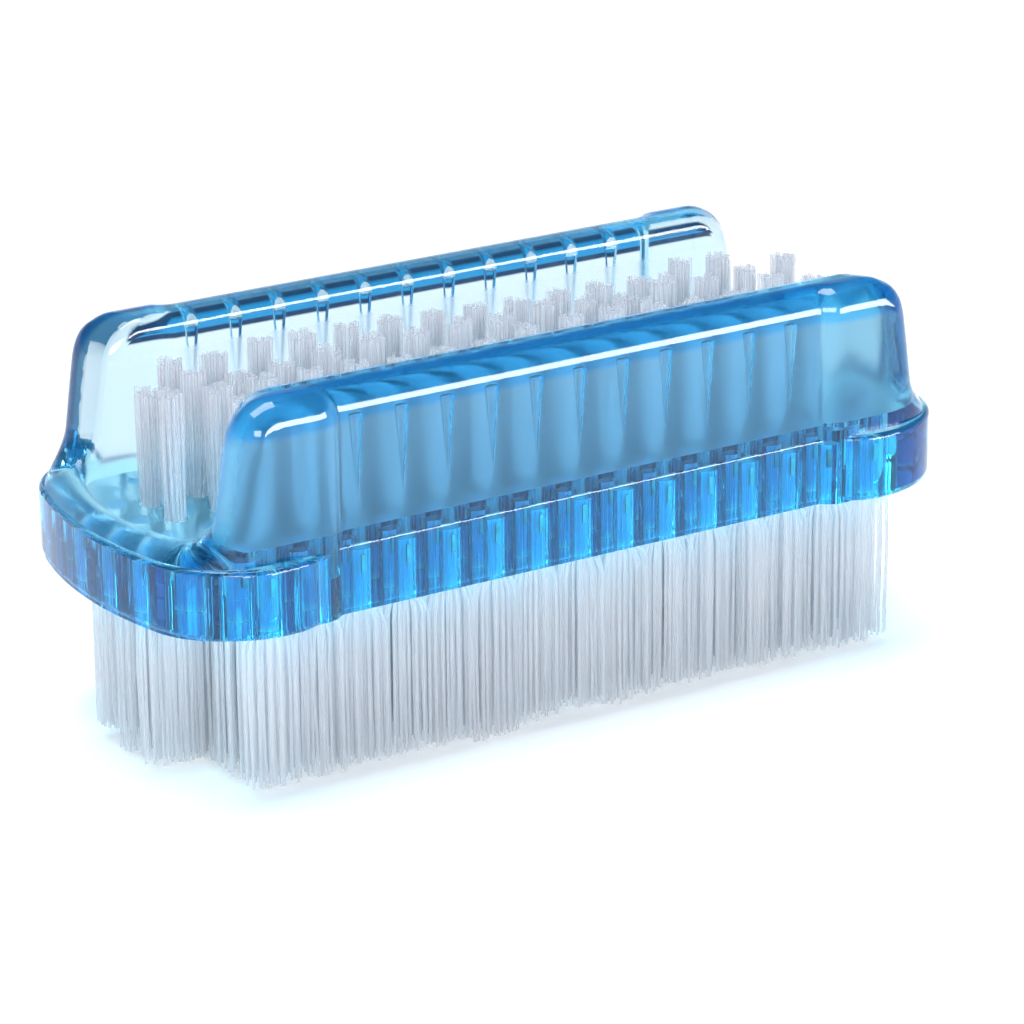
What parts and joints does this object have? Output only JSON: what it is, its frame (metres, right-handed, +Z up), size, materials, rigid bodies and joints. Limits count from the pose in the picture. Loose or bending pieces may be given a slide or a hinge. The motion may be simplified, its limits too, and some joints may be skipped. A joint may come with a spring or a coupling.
{
  "type": "nail brush",
  "caption": "Two-sided nail brush: a clear waisted body with long bristle tufts below, and two grooved finger rails along a channel of shorter tufts on top.",
  "frame": {"origin": "centre of the bounding box, in the plane of the long bristles' tips", "axes": "+X along the brush, +Y across it, +Z up from the long bristles towards the rails"},
  "size_m": [0.0888, 0.0382, 0.0381],
  "materials": {
    "clear_plastic": "polished",
    "bristle": "satin",
    "anchor_metal": "dull"
  },
  "bodies": {
    "root": {"brush_body": "clear_plastic", "bottom_tuft_row_1": "bristle", "bottom_tuft_row_2": "bristle", "bottom_tuft_row_3": "bristle", "bottom_tuft_row_4": "bristle", "bottom_tuft_row_5": "bristle", "bottom_tuft_row_6": "bristle", "bottom_tuft_row_7": "bristle", "top_tuft_row_1": "bristle", "top_tuft_row_2": "bristle", "top_tuft_row_3": "bristle", "top_tuft_row_4": "bristle", "bottom_anchor_row_1": "anchor_metal", "bottom_anchor_row_2": "anchor_metal", "bottom_anchor_row_3": "anchor_metal", "bottom_anchor_row_4": "anchor_metal", "bottom_anchor_row_5": "anchor_metal", "bottom_anchor_row_6": "anchor_metal", "bottom_anchor_row_7": "anchor_metal", "top_anchor_row_1": "anchor_metal", "top_anchor_row_2": "anchor_metal", "top_anchor_row_3": "anchor_metal", "top_anchor_row_4": "anchor_metal"}
  },
  "joints": []
}
